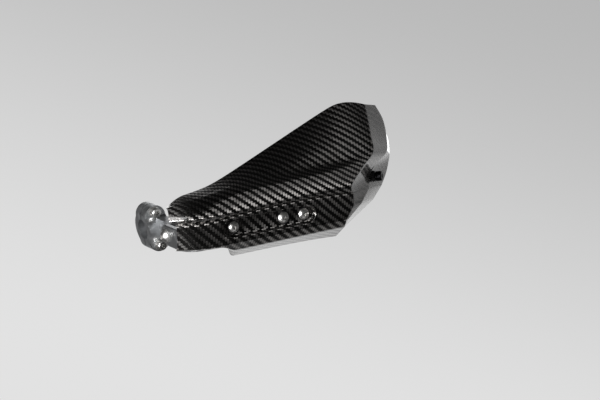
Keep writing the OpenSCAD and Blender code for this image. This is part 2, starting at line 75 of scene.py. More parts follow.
def applyAll(obj):
    pickOnly(obj)
    for modifier in list(obj.modifiers):
        bpy.ops.object.modifier_apply(modifier=modifier.name)


def joined(objects):
    deselectAll()
    for obj in objects:
        obj.select_set(True)
    bpy.context.view_layer.objects.active = objects[0]
    bpy.ops.object.join()
    return objects[0]


# The carbon shell, in millimetres, as it stands before the guard is tipped by its rake.
# Shares run along the face, from 0 at the nose to 1 at the outer corner.
shell = {
    "rake": 26, "wall": 2.5, "armX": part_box("mounting_bow")[1][0] / mm - 3,
    "bowWidth": 24, "bowFront": -99, "bowThick": 3, "damper": 3, "pocketDepth": 5.5,
    "noseReach": 16, "noseLean": 5, "noseCurl": 24, "noseShare": 0.22, "noseDip": 0.075,
    "noseTop": 44, "wingTop": 94, "riseShares": (0.2, 0.86), "riseSoft": 0.06,
    "topSet": (40, 50), "topRound": (8, 12), "roundShares": (0.09, 0.18),
    "bandSwell": (0, -0.8, 1.6), "wingSwell": (0, -1.4, 0), "lapSwell": (0, -1.65, 5),
    "lapHeight": 21, "lapRise": 3, "valleySet": 13,
    "ridgeHeight": 27.4, "ridgeFall": 0.071, "ridgeProud": 2, "keelDepth": 5.8, "keelFall": 0.096,
    "stepHeight": 18.7, "stepDroop": 14, "droopFrom": 0.17, "droopOver": 0.79,
    "cornerInset": 7, "valleyInset": 27, "veeInset": 68, "toeInset": 80,
    "sillDepth": 30, "sillDrop": 23.5, "bevelSet": 6, "bevelDrop": 9,
    "wrapOut": 25, "wrapBack": 74,
    "ledge": (3.0, 1.3), "edgeRadius": 1.6, "bevelRadius": 2.5, "stepRadius": 1.1, "cornerRadius": 2.2,
    "alongSteps": 130, "sideSteps": 10, "upSteps": 8, "roundSteps": 4, "backSteps": 14,
    "smoothAngle": 28, "tow": 2.6,
}
outerBolt = {"turn": 43, "z": 5, "bendRadius": 85, "bendX": 172, "bendY": -11, "seatIn": 0.5}
pocket = {
    "firstX": 45, "middleX": 104.5, "lastX": 129, "firstZ": 6.3, "fall": 6.4,
    "endIn": 14, "endOut": 12, "height": 20,
    "rimRadius": 0.6, "floorRadius": 1.5, "draft": 0.4,
}

faceY = shell["bowFront"] - shell["damper"] - shell["wall"] - shell["pocketDepth"]
noseX = -shell["noseReach"]
armX = shell["armX"]
turn = math.radians(outerBolt["turn"])
outerDir = Vector((math.sin(turn), -math.cos(turn), 0))
outerRun = Vector((math.cos(turn), math.sin(turn), 0))
outerSeat = Vector((outerBolt["bendX"], outerBolt["bendY"], outerBolt["z"])) + outerDir * (
    outerBolt["bendRadius"] + shell["bowThick"] - outerBolt["seatIn"] + shell["damper"] + shell["wall"])


def noseBend(u):
    return unit(1 - u / shell["noseShare"]) ** 2 * shell["noseCurl"]


def nearCorner(u):
    return ease((u - 0.8) / 0.2)


# The lines that run along the face; each has its own share of the nose's lean and bend.
def topLine(u):
    start, stop = shell["riseShares"]
    soft = shell["riseSoft"]
    rise = (hinge(u - start, soft) - hinge(u - stop, soft)) / (stop - start)
    height = mix(shell["noseTop"], shell["wingTop"], rise)
    inner, outer = shell["topRound"]
    innerShare, outerShare = shell["roundShares"]
    height -= inner * unit(1 - u / innerShare) ** 2 + outer * unit(1 - (1 - u) / outerShare) ** 2
    return Vector((mix(noseX + shell["noseLean"], armX - shell["cornerInset"], u),
                   faceY + mix(*shell["topSet"], u), height))


def ridgeLine(u):
    x = mix(noseX - 0.3 * shell["noseLean"], armX - shell["veeInset"], u)
    z = shell["ridgeHeight"] - shell["ridgeFall"] * x - shell["noseDip"] * noseBend(u)
    return Vector((x, faceY - shell["ridgeProud"] + noseBend(u), z))


def stepLine(u):
    x = mix(noseX + 0.7 * shell["noseLean"], armX - shell["veeInset"] + 0.2 * shell["noseLean"], u)
    droop = max(0, u - shell["droopFrom"]) / shell["droopOver"]
    z = shell["stepHeight"] - shell["stepDroop"] * droop ** 2 + shell["noseDip"] * noseBend(u)
    return Vector((x, faceY + 0.75 * noseBend(u), z))


def keelLine(u):
    x = mix(noseX + 0.4 * shell["noseLean"], armX - shell["toeInset"], u)
    return Vector((x, faceY + 0.95 * noseBend(u), -shell["keelDepth"] - shell["keelFall"] * x))


def valleyLine(u):
    return Vector((mix(noseX + shell["noseLean"], armX - shell["valleyInset"], u),
                   faceY + shell["valleySet"] + noseBend(u),
                   ridgeLine(u).z + shell["lapHeight"] + shell["lapRise"] * nearCorner(u)))


def swollen(low, high, k, amount):
    return mix(low, high, k) + 4 * k * (1 - k) * Vector(amount)


def faceGuides(u):
    # ten points from top edge to keel: a plain band at the nose grows into a wing, a valley and a lap
    top, ridge, valley, step, keel = topLine(u), ridgeLine(u), valleyLine(u), stepLine(u), keelLine(u)
    lapSwell = Vector(shell["lapSwell"]) * mix(1, 0.2, nearCorner(u))
    # the lap is a third grown at the nose, and whole two fifths of the way along
    grown = mix(0.35, 1, ease((u - 0.02) / 0.4))
    band = [swollen(ridge, top, k, shell["bandSwell"]) for k in (0.84, 0.66, 0.48, 0.24)]
    wing = [swollen(valley, top, k, shell["wingSwell"]) for k in (0.66, 0.33)]
    full = [*wing, valley, swollen(ridge, valley, 0.5, lapSwell)]
    upper = [mix(a, b, grown) for a, b in zip(band, full)]
    # the step's ledge is deepest at the nose
    ledge = mix(shell["ledge"][1], shell["ledge"][0], unit(1 - u / 0.4) ** 2)
    root = step + ledge * Vector((0, 1, 0.75))
    middle = mix(step, keel, 0.5) + Vector((0.75 * shell["bevelSet"] * u ** 6, 0, 0))
    return [top, *upper, ridge, root, step, middle, keel]


def byArm(out, back, up):
    # a point near the wing's outer corner, in shares of the wrap
    return Vector((armX + out * shell["wrapOut"], faceY + back * shell["wrapBack"],
                   up * shell["wingTop"]))


def bySeat(along, up, out=0.0):
    # a point near the outer bolt's seat, in shares of the wrap and of the bow's width
    point = outerSeat + shell["wrapOut"] * (along * outerRun + out * outerDir)
    point.z = up * shell["bowWidth"]
    return point


# the outer crease and the return wall's rim, each with the ten guides of the face
stepCrease = bySeat(-0.72, -0.125, -0.04)
sideCrease = [
    byArm(0.5, 0.81, 0.793), byArm(0.64, 0.716, 0.606), byArm(0.48, 0.608, 0.383),
    byArm(0.12, 0.486, 0.266), bySeat(0, 0.75, 0.16), bySeat(-0.3, 0.333, -0.02),
    mix(bySeat(-0.3, 0.333, -0.02), stepCrease, 0.9), stepCrease,
    Vector((armX - 0.794 * shell["veeInset"], faceY + 0.1 * shell["wrapBack"],
            -0.52 * shell["bowWidth"])),
    keelLine(1) + shell["wrapOut"] * Vector((0.16, 0.08, -0.02)),
]
stepRim = bySeat(0.96, -0.542, 0.072)
sideRim = [
    byArm(0.72, 1, 0.745), byArm(0.88, 0.919, 0.553), byArm(1, 0.865, 0.34),
    byArm(0.88, 0.811, 0.17), bySeat(1.72, 0.25, 0.3), bySeat(1.4, -0.125, 0.22),
    mix(bySeat(1.4, -0.125, 0.22), stepRim, 0.9), stepRim,
    Vector((armX - 0.25 * shell["veeInset"], faceY + 0.608 * shell["wrapBack"],
            -1.085 * shell["sillDrop"])),
    Vector((armX - 0.775 * shell["toeInset"], faceY + 1.2 * shell["sillDepth"],
            -1.787 * shell["sillDrop"])),
]


def catmull(points, i, t):
    a, b, c, d = (points[max(0, min(len(points) - 1, i + k))] for k in (-1, 0, 1, 2))
    square, cube = 2 * a - 5 * b + 4 * c - d, 3 * b - a - 3 * c + d
    return 0.5 * (2 * b + (c - a) * t + square * t * t + cube * t ** 3)


def rounded(before, corner, after, radius):
    # points of a soft corner, from the last point before it to the first one after it
    start, end = (corner + way * min(0.45, radius / max(1e-6, way.length))
                  for way in (before - corner, after - corner))
    ts = [k / shell["roundSteps"] for k in range(shell["roundSteps"] + 1)]
    return [start * (1 - t) ** 2 + corner * 2 * t * (1 - t) + end * t * t for t in ts]


def rowsOf(guides):
    # top edge to keel, with a soft lip at the step; the last row leaves room for the keel's soft corner
    steps = shell["upSteps"]
    upper = [catmull(guides[:7], i, s / steps) for i in range(6) for s in range(steps)]
    root, step, middle, keel = guides[6:]
    lip = rounded(root, step, middle, shell["stepRadius"])
    lower = [mix(lip[-1], middle, s / 5) for s in range(1, 6)]
    stop = 1 - shell["edgeRadius"] / max(1e-6, (keel - middle).length)
    keelwards = [mix(middle, keel, stop * t) for t in (0.2, 0.4, 0.6, 0.8, 0.9, 1)]
    return upper + [root, mix(root, lip[0], 0.5)] + lip + lower + keelwards


def frontColumns():
    flat = [faceGuides(i / shell["alongSteps"]) for i in range(shell["alongSteps"] + 1)]
    last = flat[-1]
    columns = [rowsOf(g) for g in flat[:-1]]
    corner, crease = rowsOf(last), rowsOf(sideCrease)
    soft = [rounded(*points, shell["cornerRadius"]) for points in zip(columns[-1], corner, crease)]
    columns += [[points[k] for points in soft] for k in range(shell["roundSteps"] + 1)]
    for s in range(1, shell["sideSteps"] + 1):
        side = []
        for j in range(len(corner)):
            width = max(1e-6, (crease[j] - corner[j]).length)
            stop = 1 - min(0.4, shell["edgeRadius"] / width)
            side.append(mix(soft[j][-1], mix(corner[j], crease[j], stop), s / shell["sideSteps"]))
        columns.append(side)
    return columns, crease


def grownBy(u, start, over):
    # the bevel and the sill are narrow at the nose
    return mix(0.12, 1, ease((u - start) / over))


def sill(u):
    # it hangs a little lower and further out at the outer end
    drop, back = shell["sillDrop"], shell["bevelSet"] + shell["sillDepth"]
    return (keelLine(u) + grownBy(u, 0.23, 0.13) * Vector((0, back, -drop))
            + u ** 5 * drop * Vector((0.17, 0, -0.15)))


def bevelEnd(u):
    return keelLine(u) + grownBy(u, 0.19, 0.12) * Vector((0, shell["bevelSet"], -shell["bevelDrop"]))


def wallColumns(columns, crease):
    # from the front's own edge round the soft keel or crease, over the bevel and back to the rim
    rows, rim, steps = len(columns[0]), rowsOf(sideRim), shell["alongSteps"]
    endBevel = mix(crease[-1], rim[-1], 0.3)
    stations = []
    for i, column in enumerate(columns):
        if i < steps:
            u = i / steps
            stations.append((column[-1], keelLine(u), bevelEnd(u), sill(u)))
        else:
            s = (i - steps) / (len(columns) - 1 - steps)
            edge = mix(keelLine(1), sideCrease[-1], s)
            bend, end = mix(bevelEnd(1), endBevel, s), mix(sill(1), sideRim[-1], s)
            stations.append((column[-1], edge, bend, end))
    for j in range(rows - 2, -1, -1):
        stations.append((columns[-1][j], crease[j], mix(crease[j], rim[j], 0.22), rim[j]))
    walls = []
    for start, edge, bend, end in stations:
        lip = rounded(start, edge, bend, shell["edgeRadius"])
        turnIn = rounded(lip[-1], bend, end, shell["bevelRadius"])
        flat = [mix(lip[-1], turnIn[0], k) for k in (0.25, 0.5, 0.75)]
        back = [mix(turnIn[-1], end, (s + 1) / shell["backSteps"]) for s in range(shell["backSteps"])]
        walls.append([start] + lip[1:] + flat + turnIn + back)
    return walls


def gridOf(name, points):
    # a grid primitive with one vertex for each point
    across, down = len(points), len(points[0])
    deselectAll()
    bpy.ops.mesh.primitive_grid_add(x_subdivisions=across - 1, y_subdivisions=down - 1, size=0.3)
    obj = bpy.context.object
    obj.name = name
    for j in range(down):
        for i in range(across):
            obj.data.vertices[j * across + i].co = points[i][j] * mm
    return obj


def lengthsAlong(line):
    total, out = 0.0, [0.0]
    for a, b in zip(line, line[1:]):
        total += (b - a).length
        out.append(total)
    return out


def layCloth(obj, places):
    # the weave follows the surface: places gives each vertex its millimetres along the cloth's two ways
    weave = obj.data.uv_layers.new(name="weave")
    for loop in obj.data.loops:
        weave.data[loop.index].uv = places[loop.vertex_index]


def pocketSlope(x):
    return pocket["firstZ"] - (x - pocket["firstX"]) * math.tan(math.radians(pocket["fall"]))


def markOpening(front, columns):
    # the faces that the pocket takes: whole rows of the flat below the step, and the columns it reaches
    down, clear = len(columns[0]), pocket["height"] / 2 + pocket["rimRadius"] + 1.2
    rows = range(down - 12, down - 2)

    def offAxis(point):
        return (Vector((point.x, point.z)) - pocketAxis(point.x, point.z)).length

    taken = [i for i, column in enumerate(columns[:shell["alongSteps"]])
             if min(offAxis(column[j]) for j in rows) < clear]
    opening = front.data.attributes.new("opening", "BOOLEAN", "FACE")
    for j in rows[:-1]:
        for i in range(taken[0] - 1, taken[-1] + 1):
            opening.data[j * (len(columns) - 1) + i].value = True


def makeShell():
    columns, crease = frontColumns()
    walls = wallColumns(columns, crease)
    ridgeRow = 5 * shell["upSteps"]
    across, down = len(columns), len(columns[0])
    # the tows stand upright, also where the nose's edge leans
    nose = columns[0]
    along = [[nose[j].x - nose[ridgeRow].x + d for d in lengthsAlong([c[j] for c in columns])]
             for j in range(down)]
    fallen = [lengthsAlong(c) for c in columns]
    frontPlace = [[(along[j][i], fallen[i][ridgeRow] - fallen[i][j]) for j in range(down)]
                  for i in range(across)]
    front = gridOf("guardShell", columns)
    markOpening(front, columns)
    layCloth(front, [frontPlace[i][j] for j in range(down) for i in range(across)])
    wall = gridOf("returnWall", walls)
    wallPlace = []
    for e, line in enumerate(walls):
        lengths = lengthsAlong(line)
        if e < across:
            u, v = frontPlace[e][down - 1]
            wallPlace.append([(u, v - d) for d in lengths])
        else:
            u, v = frontPlace[across - 1][down - 2 - (e - across)]
            wallPlace.append([(u + d, v) for d in lengths])
    layCloth(wall, [wallPlace[e][m] for m in range(len(walls[0])) for e in range(len(walls))])
    joined([front, wall])
    bpy.ops.object.mode_set(mode="EDIT")
    bpy.ops.mesh.select_all(action="SELECT")
    bpy.ops.mesh.remove_doubles(threshold=0.02 * mm)
    bpy.ops.mesh.normals_make_consistent(inside=False)
    bpy.ops.object.mode_set(mode="OBJECT")
    return front


def pocketAxis(x, z):
    # nearest point of the line that the pocket's outline runs round
    fall = math.radians(pocket["fall"])
    along = Vector((math.cos(fall), -math.sin(fall)))
    first = Vector((pocket["firstX"], pocket["firstZ"]))
    span = (pocket["lastX"] - pocket["firstX"]) / math.cos(fall)
    radius = pocket["height"] / 2
    t = (Vector((x, z)) - first).dot(along)
    t = max(radius - pocket["endIn"], min(span + pocket["endOut"] - radius, t))
    return first + t * along


def stadiumPoint(x, z, grow):
    # nearest point of the pocket's outline, grown by that many millimetres, and the way inwards
    axis = pocketAxis(x, z)
    out = (Vector((x, z)) - axis).normalized()
    return axis + (pocket["height"] / 2 + grow) * out, -out


def pocketRings():
    # how far out of the pocket's wall each ring lies, and how deep
    rim, toe, depth = pocket["rimRadius"], pocket["floorRadius"], shell["pocketDepth"]
    foot, low = -pocket["draft"], depth - toe
    quarter = [math.pi / 8 * k for k in range(5)]
    rings = [(rim * (1 - math.sin(a)), rim * (1 - math.cos(a))) for a in quarter]
    rings += [(mix(0, foot, k / 3), mix(rim, low, k / 3)) for k in range(1, 4)]
    rings += [(foot - toe * (1 - math.cos(a)), low + toe * math.sin(a)) for a in quarter[1:]]
    return rings


def selectNothing(mesh):
    for part in (mesh.vertices, mesh.edges, mesh.polygons):
        part.foreach_set("select", [False] * len(part))


def cutPocket(obj):
    # the lower face is opened, and its edge carried over a soft rim, down the wall and to the floor
    mesh = obj.data
    pickOnly(obj)
    selectNothing(mesh)
    for polygon, mark in zip(mesh.polygons, mesh.attributes["opening"].data):
        polygon.select = mark.value
    bpy.ops.object.mode_set(mode="EDIT")
    bpy.ops.mesh.select_mode(type="FACE")
    bpy.ops.mesh.delete(type="FACE")
    bpy.ops.mesh.select_mode(type="EDGE")
    bpy.ops.mesh.select_all(action="DESELECT")
    bpy.ops.mesh.select_non_manifold(extend=False, use_wire=True, use_boundary=True,
                                     use_multi_face=False, use_non_contiguous=False, use_verts=False)
    bpy.ops.object.mode_set(mode="OBJECT")
    border = set()
    for edge in mesh.edges:
        middle = sum((mesh.vertices[v].co for v in edge.vertices), Vector()) / 2 / mm
        edge.select = edge.select and abs(middle.y - faceY) < 0.5
        if edge.select:
            border.update(edge.vertices)
    for vertex in mesh.vertices:
        vertex.select = vertex.index in border
    known = len(mesh.vertices)
    cloth = flatCloth(mesh, border)
    bpy.ops.object.mode_set(mode="EDIT")
    for grow, depth in pocketRings():
        bpy.ops.mesh.extrude_edges_move()
        bpy.ops.object.mode_set(mode="OBJECT")
        for vertex in mesh.vertices:
            if vertex.select:
                point = stadiumPoint(vertex.co.x / mm, vertex.co.z / mm, grow)[0]
                vertex.co = Vector((point.x, faceY + depth, point.y)) * mm
        bpy.ops.object.mode_set(mode="EDIT")
    bpy.ops.mesh.edge_face_add()
    bpy.ops.mesh.select_all(action="SELECT")
    bpy.ops.mesh.normals_make_consistent(inside=False)
    bpy.ops.object.mode_set(mode="OBJECT")
    layPocketCloth(mesh, known, cloth)
    print("pocket pressed in")


def flatCloth(mesh, border):
    # the cloth's place on the flat lower face, read along the opening's lowest and highest points
    weave = mesh.uv_layers["weave"].data
    seen = {loop.vertex_index: Vector(weave[loop.index].uv) for loop in mesh.loops
            if loop.vertex_index in border}
    points = [(mesh.vertices[v].co / mm, uv) for v, uv in seen.items()]
    points.sort(key=lambda p: p[0].x + 0.1 * p[0].z)
    left, right = points[0], points[-1]
    top = max(points, key=lambda p: p[0].z + 0.12 * p[0].x)
    run, rise = right[0] - left[0], top[0] - left[0]
    det = run.x * rise.z - run.z * rise.x
    alongX = ((right[1] - left[1]) * rise.z - (top[1] - left[1]) * run.z) / det
    alongZ = ((top[1] - left[1]) * run.x - (right[1] - left[1]) * rise.x) / det
    return lambda x, z: left[1] + (x - left[0].x) * alongX + (z - left[0].z) * alongZ


def layPocketCloth(mesh, known, cloth):
    rings = pocketRings()
    paths = [0.0]
    for (g0, d0), (g1, d1) in zip(rings, rings[1:]):
        paths.append(paths[-1] + math.hypot(g1 - g0, d1 - d0))
    weave = mesh.uv_layers["weave"].data
    for polygon in mesh.polygons:
        if max(polygon.vertices) < known:
            continue
        floor = polygon.center.y / mm > faceY + shell["pocketDepth"] - 0.01
        for k in polygon.loop_indices:
            vertex = mesh.loops[k].vertex_index
            co = mesh.vertices[vertex].co / mm
            if floor:
                weave[k].uv = cloth(co.x, co.z)
            elif vertex >= known:
                depth = co.y - faceY
                ring = min(range(len(rings)), key=lambda r: abs(rings[r][1] - depth))
                rim, inward = stadiumPoint(co.x, co.z, rings[0][0])
                at = rim + inward * paths[ring]
                weave[k].uv = cloth(at.x, at.y)


def cylinder(name, width, height, matrix, vertices=64):
    # stands on its own foot and is then carried to its place
    deselectAll()
    bpy.ops.mesh.primitive_cylinder_add(vertices=vertices, radius=width / 2 * mm, depth=height * mm,
                                        location=(0, 0, height / 2 * mm))
    obj = bpy.context.object
    obj.name = name
    bpy.ops.object.transform_apply(location=True, rotation=False, scale=False)
    obj.data.transform(matrix)
    return obj


def outerBoltPlace(depth):
    return (Matrix.Translation((outerSeat + depth * outerDir) * mm) @ Matrix.Rotation(turn, 4, "Z")
            @ Matrix.Rotation(math.pi / 2, 4, "X"))


def boolean(obj, operation, cutter):
    modifier = obj.modifiers.new("cut", "BOOLEAN")
    modifier.operation = operation
    modifier.solver = "EXACT"
    modifier.object = cutter
    applyAll(obj)
    bpy.data.objects.remove(cutter)


# widths at the outer bolt, at the pocket's screws and of the slot beside the bolt;
# a drill is how far behind the wall it starts, and its length
holes = {
    "pad": 14, "spacerFace": 12.8, "spacerRoom": 6.5, "damperFace": 13.6, "damperRoom": 3,
    "collar": 9.1, "outerDrill": (4, 9), "pocketDrill": (2.5, 8),
    "slotLength": 5, "slotWidth": 1.8, "slotCut": 20, "slotTurn": 25, "slotPlace": (-0.12, 0.646),
}


def slotCutter():
    lowered = Matrix.Translation((0, 0, -holes["slotCut"] / 2 * mm))
    cutter = cylinder("slot", holes["slotWidth"], holes["slotCut"], lowered, 24)
    reach = (holes["slotLength"] - holes["slotWidth"]) / 2 * mm
    for vertex in cutter.data.vertices:
        vertex.co.x += math.copysign(reach, vertex.co.x)
    place = outerBoltPlace(0)
    place.translation = bySeat(*holes["slotPlace"]) * mm
    cutter.data.transform(place @ Matrix.Rotation(math.radians(holes["slotTurn"]), 4, "Z"))
    return cutter


def drillShell(obj):
    # a flat pad and its spot-faces at the outer bolt, the slot beside it, and the holes for the collars
    wall, room = shell["wall"], holes["damperRoom"]
    boolean(obj, "UNION", cylinder("pad", holes["pad"], wall, outerBoltPlace(-wall)))
    for name, height, depth in (("spacerFace", holes["spacerRoom"], 0), ("damperFace", room, -wall - room)):
        boolean(obj, "DIFFERENCE", cylinder(name, holes[name], height, outerBoltPlace(depth)))
    behind, length = holes["outerDrill"]
    drills = [cylinder("collarHole", holes["collar"], length, outerBoltPlace(-wall - behind))]
    behind, length = holes["pocketDrill"]
    for x in (pocket["firstX"], pocket["middleX"], pocket["lastX"]):
        start = Vector((x, faceY + shell["pocketDepth"] + wall + behind, pocketSlope(x))) * mm
        place = Matrix.Translation(start) @ Matrix.Rotation(math.pi / 2, 4, "X")
        drills.append(cylinder("collarHole", holes["collar"], length, place))
    boolean(obj, "DIFFERENCE", joined([*drills, slotCutter()]))


def cleanCuts(obj):
    # the cuts leave specks and many-sided faces, which would tear when the mesh is exported
    pickOnly(obj)
    bpy.ops.object.mode_set(mode="EDIT")
    bpy.ops.mesh.select_mode(type="FACE")
    bpy.ops.mesh.select_all(action="SELECT")
    bpy.ops.mesh.dissolve_degenerate(threshold=0.001 * mm)
    bpy.ops.mesh.delete_loose(use_edges=True, use_verts=True)
    bpy.ops.mesh.select_face_by_sides(number=4, type="GREATER", extend=False)
    bpy.ops.mesh.quads_convert_to_tris(quad_method="BEAUTY", ngon_method="BEAUTY")
    bpy.ops.object.mode_set(mode="OBJECT")


def node(tree, kind, **settings):
    made = tree.nodes.new(kind)
    for name, value in settings.items():
        setattr(made, name, value)
    return made


def feed(tree, socket, value):
    if isinstance(value, bpy.types.NodeSocket):
        tree.links.new(value, socket)
    else:
        socket.default_value = value


def maths(tree, operation, a, b=0.0, c=0.0):
    made = node(tree, "ShaderNodeMath", operation=operation)
    for socket, value in zip(made.inputs, (a, b, c)):
        feed(tree, socket, value)
    return made.outputs[0]


def mixed(tree, factor, a, b, kind="RGBA"):
    made = node(tree, "ShaderNodeMix", data_type=kind)
    slots = {"RGBA": (0, 6, 7, 2), "FLOAT": (0, 2, 3, 0)}[kind]
    feed(tree, made.inputs[slots[0]], factor)
    feed(tree, made.inputs[slots[1]], a)
    feed(tree, made.inputs[slots[2]], b)
    return made.outputs[slots[3]]


def newFinish(name):
    finish = bpy.data.materials.new(name)
    finish.use_nodes = True
    tree = finish.node_tree
    return finish, tree, tree.nodes["Principled BSDF"]


def grain(tree, source, scale, stretch=(1, 1, 1), detail=3.0, roughness=0.6, turned=(0, 0, 0)):
    mapping = node(tree, "ShaderNodeMapping")
    mapping.inputs["Scale"].default_value = stretch
    mapping.inputs["Rotation"].default_value = turned
    tree.links.new(source, mapping.inputs["Vector"])
    noise = node(tree, "ShaderNodeTexNoise")
    noise.inputs["Scale"].default_value = scale
    noise.inputs["Detail"].default_value = detail
    noise.inputs["Roughness"].default_value = roughness
    tree.links.new(mapping.outputs[0], noise.inputs["Vector"])
    return noise.outputs["Fac"]


def spread(tree, value, low, high, fromLow=0.3, fromHigh=0.7):
    made = node(tree, "ShaderNodeMapRange")
    for socket, number in zip(made.inputs, (value, fromLow, fromHigh, low, high)):
        feed(tree, socket, number)
    return made.outputs[0]


def bumped(tree, height, depth, strength=1.0):
    made = node(tree, "ShaderNodeBump")
    made.inputs["Strength"].default_value = strength
    made.inputs["Distance"].default_value = depth * mm
    tree.links.new(height, made.inputs["Height"])
    return made.outputs[0]


def tint(tree, shader, cloudy, colour, dark, light):
    # the colour wanders between a darker and a lighter one
    low = tuple(dark * c for c in colour) + (1,)
    high = tuple(min(1, light * c) for c in colour) + (1,)
    tree.links.new(mixed(tree, spread(tree, cloudy, 0, 1), low, high), shader.inputs["Base Color"])


carbon = {
    # the upright tows' colour is raised and the across tows' lowered: painted sheen and painted shade, as
    # both are the same fibre
    "upTowLit": (0.5, 0.48, 0.465, 1), "acrossTowShaded": (0.07, 0.068, 0.066, 1),
    # near-black at the joints between tows, and the colour that the painted shade at the tows' sides fades
    # to
    "gapAndPaintedShade": (0.004, 0.004, 0.004, 1),
    "paintedEdgeShade": 0.05, "towShades": (0.8, 1.1), "streakShades": (0.75, 1.15), "streakStretch": (14, 0.6),
    "roughness": 0.38, "streaks": 0.12, "anisotropy": 1.0, "towHeight": 0.08, "streakHeight": 0.12,
    "coatRoughness": 0.035, "coatIndex": 1.55, "bareRoughness": 0.25, "bareMetallic": 0.4,
}


def crown(tree, t):
    # 1 in the middle of 0..1, and 0 at its ends
    slope = maths(tree, "MULTIPLY", t, maths(tree, "SUBTRACT", 1.0, t))
    return maths(tree, "MULTIPLY", slope, 4.0)


def weaveCells(tree, place):
    # two-by-two twill: a tow goes over two and under two, one place further on in each row
    ways = node(tree, "ShaderNodeSeparateXYZ")
    tree.links.new(place, ways.inputs[0])
    a = maths(tree, "DIVIDE", ways.outputs[0], shell["tow"])
    b = maths(tree, "DIVIDE", ways.outputs[1], shell["tow"])
    i, j = maths(tree, "FLOOR", a), maths(tree, "FLOOR", b)

    def fourth(x, y):
        return maths(tree, "FLOORED_MODULO", maths(tree, "ADD", x, y), 4.0)

    upOver = maths(tree, "LESS_THAN", fourth(i, j), 2.0)
    upFloat = maths(tree, "MULTIPLY", fourth(b, i), 0.5)
    acrossFloat = maths(tree, "MULTIPLY_ADD", fourth(a, j), 0.5, -1.0)
    upAcross, acrossUp = (crown(tree, maths(tree, "FRACT", t)) for t in (a, b))
    width = mixed(tree, upOver, acrossUp, upAcross, "FLOAT")
    length = mixed(tree, upOver, crown(tree, acrossFloat), crown(tree, upFloat), "FLOAT")
    body = maths(tree, "MULTIPLY", maths(tree, "POWER", width, 0.5), maths(tree, "POWER", length, 0.4))
    return upOver, body, mixed(tree, upOver, j, i, "FLOAT")


def carbonFinish(name, glossy):
    finish, tree, shader = newFinish(name)
    place = node(tree, "ShaderNodeUVMap", uv_map="weave").outputs[0]
    upOver, body, tow = weaveCells(tree, place)
    cell = node(tree, "ShaderNodeCombineXYZ")
    tree.links.new(tow, cell.inputs[0])
    tree.links.new(upOver, cell.inputs[1])
    towTone = node(tree, "ShaderNodeTexWhiteNoise", noise_dimensions="2D")
    tree.links.new(cell.outputs[0], towTone.inputs["Vector"])
    fine, long = carbon["streakStretch"]
    upStreak = grain(tree, place, 1.0, (fine, long, 1), 2.0)
    acrossStreak = grain(tree, place, 1.0, (long, fine, 1), 2.0)
    streak = mixed(tree, upOver, acrossStreak, upStreak, "FLOAT")

    # painted sheen on the upright tows, painted shade on the across tows
    colour = mixed(tree, upOver, carbon["acrossTowShaded"], carbon["upTowLit"])
    # painted shade: each tow darkens towards its sides and float ends, which leaves a painted highlight
    # along its crown; the tone that differs from tow to tow and along the streaks is the cloth's own
    paintedShadeAndTone = maths(tree, "MULTIPLY", spread(tree, body, carbon["paintedEdgeShade"], 1.0, 0.1, 0.75),
                  spread(tree, towTone.outputs[0], *carbon["towShades"], 0, 1))
    paintedShadeAndTone = maths(tree, "MULTIPLY", paintedShadeAndTone, spread(tree, streak, *carbon["streakShades"]))
    base = mixed(tree, maths(tree, "MINIMUM", paintedShadeAndTone, 1.0), carbon["gapAndPaintedShade"], colour)
    tree.links.new(base, shader.inputs["Base Color"])
    middle = carbon["roughness"] + (0 if glossy else carbon["bareRoughness"])
    half = carbon["streaks"] / 2
    tree.links.new(spread(tree, streak, middle - half, middle + half), shader.inputs["Roughness"])
    relief = maths(tree, "MULTIPLY_ADD", streak, carbon["streakHeight"], body)
    tree.links.new(bumped(tree, relief, carbon["towHeight"]), shader.inputs["Normal"])
    shader.inputs["Metallic"].default_value = 1.0 if glossy else carbon["bareMetallic"]
    if glossy:
        # the tows that run across turn their highlight by a quarter
        shader.inputs["Anisotropic"].default_value = carbon["anisotropy"]
        turned = maths(tree, "MULTIPLY_ADD", upOver, -0.25, 0.25)
        tree.links.new(turned, shader.inputs["Anisotropic Rotation"])
        tangent = node(tree, "ShaderNodeTangent", direction_type="UV_MAP", uv_map="weave")
        tree.links.new(tangent.outputs[0], shader.inputs["Tangent"])
        shader.inputs["Coat Weight"].default_value = 1.0
        shader.inputs["Coat Roughness"].default_value = carbon["coatRoughness"]
        shader.inputs["Coat IOR"].default_value = carbon["coatIndex"]
    return finish


metals = {
    "satin": {"colour": (0.56, 0.57, 0.58), "roughness": (0.3, 0.42),
              "scale": 900, "stretch": (0.12, 1, 1), "depth": 0.01},
    "blasted": {"colour": (0.5, 0.51, 0.52), "roughness": (0.38, 0.5),
                "scale": 2600, "stretch": (1, 1, 1), "depth": 0.02},
    "turned": {"colour": (0.62, 0.62, 0.63), "roughness": (0.2, 0.34),
               "scale": 1500, "stretch": (1, 0.1, 0.1), "depth": 0.01},
    "zinc": {"colour": (0.74, 0.73, 0.71), "roughness": (0.22, 0.38),
             "scale": 700, "stretch": (1, 1, 1), "depth": 0.008},
    "bright": {"colour": (0.86, 0.85, 0.83), "roughness": (0.3, 0.42),
               "scale": 600, "stretch": (1, 1, 1), "depth": 0.006},
    "blackSteel": {"colour": (0.022, 0.022, 0.024), "roughness": (0.3, 0.45),
                   "scale": 1200, "stretch": (1, 1, 1), "depth": 0.01},
    "anodised": {"colour": (0.03, 0.03, 0.033), "roughness": (0.28, 0.4),
                 "scale": 1800, "stretch": (0.2, 1, 1), "depth": 0.008},
}


